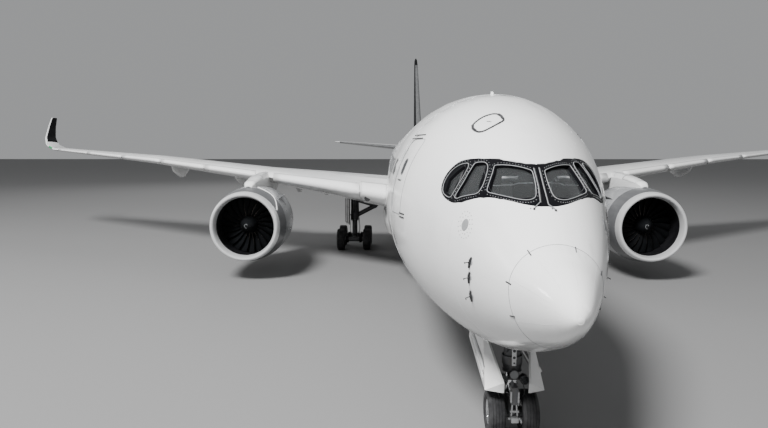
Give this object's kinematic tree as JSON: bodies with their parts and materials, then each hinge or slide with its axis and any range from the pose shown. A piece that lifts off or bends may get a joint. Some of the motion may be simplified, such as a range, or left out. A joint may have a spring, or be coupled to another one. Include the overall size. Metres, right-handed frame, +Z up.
{
  "type": "half-scale wide-body airliner",
  "caption": "Half-size airliner standing on its landing gear, with swept wings, upturned wing tips, underslung fan engines, steering nose wheels and hinged control surfaces.",
  "frame": {"origin": "on the ground in the symmetry plane, halfway along the overall length", "axes": "-Y points to the nose, +X is the aircraft's left side and +Z is up"},
  "size_m": [32.3724, 33.4, 8.525],
  "materials": {
    "white_paint": "gloss",
    "black_paint": "gloss",
    "grey_paint": "satin",
    "cowl_paint": "gloss",
    "lip_metal": "brushed",
    "hot_metal": "satin",
    "fan_metal": "satin",
    "gear_metal": "painted",
    "glass": "gloss",
    "tyre_rubber": "matt"
  },
  "bodies": {
    "airframe": {"radome": "white_paint", "nose_section": "white_paint", "windscreen_frame": "black_paint", "windscreen_glass": "glass", "flight_deck": "grey_paint", "fuselage": "white_paint", "tail_section": "white_paint", "exhaust_cone": "hot_metal", "belly_fairing": "white_paint", "fin": "black_paint", "nose_leg": "gear_metal", "left_wing": "white_paint", "left_tailplane": "white_paint", "left_inlet_lip": "lip_metal", "left_cowl": "cowl_paint", "left_engine_core": "hot_metal", "left_pylon": "white_paint", "left_nose_door": "white_paint", "left_main_leg": "gear_metal", "left_main_leg_door": "white_paint", "right_wing": "white_paint", "right_tailplane": "white_paint", "right_inlet_lip": "lip_metal", "right_cowl": "cowl_paint", "right_engine_core": "hot_metal", "right_pylon": "white_paint", "right_nose_door": "white_paint", "right_main_leg": "gear_metal", "right_main_leg_door": "white_paint"},
    "nose_steering_gear": {"nose_steering": "gear_metal"},
    "nose_wheel_pair": {"nose_wheels": "gear_metal", "nose_tyre_right": "tyre_rubber", "nose_tyre_left": "tyre_rubber"},
    "left_front_wheel_pair": {"left_front_main_wheels": "gear_metal", "left_front_inner_tyre": "tyre_rubber", "left_front_outer_tyre": "tyre_rubber"},
    "left_rear_wheel_pair": {"left_rear_main_wheels": "gear_metal", "left_rear_inner_tyre": "tyre_rubber", "left_rear_outer_tyre": "tyre_rubber"},
    "left_fan_rotor": {"left_fan": "fan_metal"},
    "left_aileron_surface": {"left_aileron": "white_paint"},
    "left_elevator_surface": {"left_elevator": "white_paint"},
    "left_inboard_flap_surface": {"left_inboard_flap": "white_paint"},
    "left_outboard_flap_surface": {"left_outboard_flap": "white_paint"},
    "right_front_wheel_pair": {"right_front_main_wheels": "gear_metal", "right_front_inner_tyre": "tyre_rubber", "right_front_outer_tyre": "tyre_rubber"},
    "right_rear_wheel_pair": {"right_rear_main_wheels": "gear_metal", "right_rear_inner_tyre": "tyre_rubber", "right_rear_outer_tyre": "tyre_rubber"},
    "right_fan_rotor": {"right_fan": "fan_metal"},
    "right_aileron_surface": {"right_aileron": "white_paint"},
    "right_elevator_surface": {"right_elevator": "white_paint"},
    "right_inboard_flap_surface": {"right_inboard_flap": "white_paint"},
    "right_outboard_flap_surface": {"right_outboard_flap": "white_paint"},
    "rudder_surface": {"rudder": "black_paint"},
    "forward_cargo_door_leaf": {"forward_cargo_door": "white_paint"},
    "aft_cargo_door_leaf": {"aft_cargo_door": "white_paint"}
  },
  "joints": [
    {"name": "nose_steer", "type": "hinge", "parent": "airframe", "child": "nose_steering_gear", "pos_m": [0, -14.2, 0.7], "axis": [0, 0, 1], "range_deg": [-70, 70]},
    {"name": "nose_wheels_spin", "type": "hinge", "parent": "nose_steering_gear", "child": "nose_wheel_pair", "pos_m": [0, -14.2, 0.2625], "axis": [1, 0, 0], "continuous": true},
    {"name": "left_front_wheels_spin", "type": "hinge", "parent": "airframe", "child": "left_front_wheel_pair", "pos_m": [2.65, -0.61, 0.35], "axis": [1, 0, 0], "continuous": true},
    {"name": "left_rear_wheels_spin", "type": "hinge", "parent": "airframe", "child": "left_rear_wheel_pair", "pos_m": [2.65, 0.41, 0.35], "axis": [1, 0, 0], "continuous": true},
    {"name": "left_fan_spin", "type": "hinge", "parent": "airframe", "child": "left_fan_rotor", "pos_m": [5.1, -5.325, 1.41], "axis": [0, 1, 0], "continuous": true},
    {"name": "left_aileron_hinge", "type": "hinge", "parent": "airframe", "child": "left_aileron_surface", "pos_m": [10.8, 2.66071, 3.07526], "axis": [0.8959, 0.4399, 0.0616], "range_deg": [-25, 25]},
    {"name": "left_elevator_hinge", "type": "hinge", "parent": "airframe", "child": "left_elevator_surface", "pos_m": [0.975, 14.53097, 3.49409], "axis": [0.9275, 0.3641, 0.0843], "range_deg": [-25, 25]},
    {"name": "left_inboard_flap_hinge", "type": "hinge", "parent": "airframe", "child": "left_inboard_flap_surface", "pos_m": [1.875, 0.09, 1.6984], "axis": [0.9943, 0, 0.107], "range_deg": [-35, 0]},
    {"name": "left_outboard_flap_hinge", "type": "hinge", "parent": "airframe", "child": "left_outboard_flap_surface", "pos_m": [5.45, -0.025, 2.07802], "axis": [0.8952, 0.4384, 0.0808], "range_deg": [-35, 0]},
    {"name": "right_front_wheels_spin", "type": "hinge", "parent": "airframe", "child": "right_front_wheel_pair", "pos_m": [-2.65, -0.61, 0.35], "axis": [1, 0, 0], "continuous": true},
    {"name": "right_rear_wheels_spin", "type": "hinge", "parent": "airframe", "child": "right_rear_wheel_pair", "pos_m": [-2.65, 0.41, 0.35], "axis": [1, 0, 0], "continuous": true},
    {"name": "right_fan_spin", "type": "hinge", "parent": "airframe", "child": "right_fan_rotor", "pos_m": [-5.1, -5.325, 1.41], "axis": [0, 1, 0], "continuous": true},
    {"name": "right_aileron_hinge", "type": "hinge", "parent": "airframe", "child": "right_aileron_surface", "pos_m": [-10.8, 2.66071, 3.07526], "axis": [0.8959, -0.4399, -0.0616], "range_deg": [-25, 25]},
    {"name": "right_elevator_hinge", "type": "hinge", "parent": "airframe", "child": "right_elevator_surface", "pos_m": [-0.975, 14.53097, 3.49409], "axis": [0.9275, -0.3641, -0.0843], "range_deg": [-25, 25]},
    {"name": "right_inboard_flap_hinge", "type": "hinge", "parent": "airframe", "child": "right_inboard_flap_surface", "pos_m": [-1.875, 0.09, 1.6984], "axis": [0.9943, 0, -0.107], "range_deg": [-35, 0]},
    {"name": "right_outboard_flap_hinge", "type": "hinge", "parent": "airframe", "child": "right_outboard_flap_surface", "pos_m": [-5.45, -0.025, 2.07802], "axis": [0.8952, -0.4384, -0.0808], "range_deg": [-35, 0]},
    {"name": "rudder_hinge", "type": "hinge", "parent": "airframe", "child": "rudder_surface", "pos_m": [0, 13.64065, 4.65], "axis": [0, 0.4322, 0.9018], "range_deg": [-30, 30]},
    {"name": "forward_cargo_door_hinge", "type": "hinge", "parent": "airframe", "child": "forward_cargo_door_leaf", "pos_m": [-1.462, -9.225, 2.345], "axis": [0, 1, 0], "range_deg": [0, 100]},
    {"name": "aft_cargo_door_hinge", "type": "hinge", "parent": "airframe", "child": "aft_cargo_door_leaf", "pos_m": [-1.462, 5.075, 2.345], "axis": [0, 1, 0], "range_deg": [0, 100]}
  ]
}
